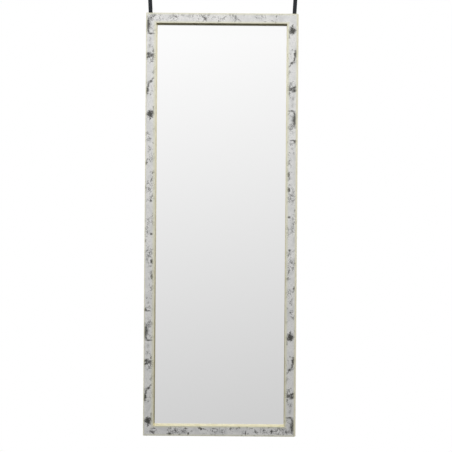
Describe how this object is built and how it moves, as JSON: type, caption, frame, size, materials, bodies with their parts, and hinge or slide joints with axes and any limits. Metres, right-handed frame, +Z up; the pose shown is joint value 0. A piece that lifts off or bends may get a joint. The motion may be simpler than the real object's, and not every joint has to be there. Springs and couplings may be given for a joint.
{
  "type": "over the door mirror",
  "caption": "Slim rectangular mirror in a mitred marble-print frame with gold edges, hung over a door's top edge on webbing straps with sliders and bent steel hooks.",
  "frame": {"origin": "on the door's top edge, in the middle of its thickness, midway between the two hooks", "axes": "+Z up; the mirror faces -Y and the door's back is towards +Y; +X to the right as seen by a user"},
  "size_m": [0.3912, 0.0735, 1.198],
  "materials": {
    "gold_foil": "champagne gold foil on a plastic moulding, satin",
    "marble_print": "printed film, white-grey marble, satin",
    "mirror_glass": "silvered float glass",
    "packing_card": "plain card",
    "hardboard": "smooth pressed hardboard",
    "zinc_steel": "bright zinc plated",
    "webbing": "plain woven polypropylene webbing, blue-black",
    "slider_plastic": "moulded, fine satin",
    "hook_steel": "nickel plated, fine brushed",
    "foam": "closed-cell foam",
    "bumper_rubber": "soft moulded rubber"
  },
  "bodies": {
    "hooks": {"left_hook": "hook_steel", "right_hook": "hook_steel", "left_hook_pads": "foam", "right_hook_pads": "foam"},
    "straps": {"left_strap": "webbing", "right_strap": "webbing"},
    "left_slider": {"left_slider": "slider_plastic"},
    "right_slider": {"right_slider": "slider_plastic"},
    "rings": {"left_ring": "zinc_steel", "right_ring": "zinc_steel"},
    "mirror": {"left_rail": "gold_foil", "right_rail": "gold_foil", "top_rail": "gold_foil", "bottom_rail": "gold_foil", "left_marble_film": "marble_print", "right_marble_film": "marble_print", "top_marble_film": "marble_print", "bottom_marble_film": "marble_print", "mirror_glass": "mirror_glass", "packing_card": "packing_card", "backing_board": "hardboard", "corner_nails": "zinc_steel", "retaining_points": "zinc_steel", "left_ring_plate": "zinc_steel", "right_ring_plate": "zinc_steel", "plate_screws": "zinc_steel", "door_bumpers": "bumper_rubber"}
  },
  "joints": [
    {"name": "strap_swing", "type": "hinge", "parent": "hooks", "child": "straps", "pos_m": [0, -0.02375, -0.046], "axis": [-1, 0, 0], "range_deg": [0, 60]},
    {"name": "ring_swing", "type": "hinge", "parent": "straps", "child": "rings", "pos_m": [0, -0.02375, -0.163], "axis": [-1, 0, 0], "range_deg": [-30, 0]},
    {"name": "mirror_swing", "type": "hinge", "parent": "rings", "child": "mirror", "pos_m": [0, -0.02375, -0.174], "axis": [-1, 0, 0], "range_deg": [-60, 0]},
    {"name": "left_slider_slide", "type": "slide", "parent": "straps", "child": "left_slider", "axis": [-0.0523, 0, 0.9986], "range_m": [-0.016, 0.016]},
    {"name": "right_slider_slide", "type": "slide", "parent": "straps", "child": "right_slider", "axis": [0.0523, 0, 0.9986], "range_m": [-0.016, 0.016]}
  ]
}
